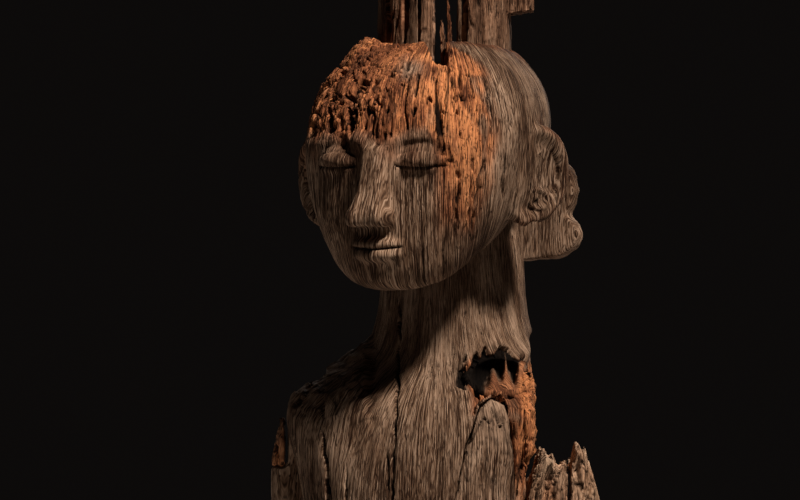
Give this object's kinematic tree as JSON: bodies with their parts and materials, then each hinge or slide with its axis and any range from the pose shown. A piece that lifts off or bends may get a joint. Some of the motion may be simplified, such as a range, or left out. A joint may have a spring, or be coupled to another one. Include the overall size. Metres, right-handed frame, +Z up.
{
  "type": "carved ancestor figure",
  "caption": "Weathered hardwood half figure with a plain calm face, flared ears, a nape board and the rotted remains of a hollow crest, standing on a steel rod stand.",
  "frame": {"origin": "centre of the stand's underside, on the ground", "axes": "+Z up; the figure faces -Y and its left hand is at +X"},
  "size_m": [0.3, 0.3, 0.8502],
  "materials": {
    "weathered_wood": "dry, grey-brown, open grained",
    "rotted_red_wood": "dry, rust-brown, deeply fissured",
    "pale_soft_wood": "dry, pale, crumbling",
    "dark_end_wood": "dry, nearly black",
    "black_steel": "matt black",
    "bare_steel": "satin",
    "felt": "black felt"
  },
  "bodies": {
    "stand": {"base_felt": "felt", "base_plate": "black_steel", "foot_cushion": "felt", "rod_left": "bare_steel", "rod_right": "bare_steel", "rod_screw_left": "bare_steel", "rod_screw_right": "bare_steel"},
    "figure": {"figure_log": "weathered_wood", "right_shoulder_shell": "rotted_red_wood", "left_shoulder_plate": "weathered_wood", "left_flank_stump": "pale_soft_wood", "left_arm_stump": "pale_soft_wood", "crest_stave_outer": "dark_end_wood", "crest_stave_first": "rotted_red_wood", "crest_stave_second": "weathered_wood", "crest_stave_third": "weathered_wood", "crest_splinter_short": "rotted_red_wood", "crest_splinter_tall": "rotted_red_wood", "crest_strip": "dark_end_wood", "crest_rear_board": "weathered_wood", "crest_rear_stub": "dark_end_wood"}
  },
  "joints": [
    {"name": "figure_lift", "type": "slide", "parent": "stand", "child": "figure", "axis": [0, 0, 1], "range_m": [0, 0.13]}
  ]
}
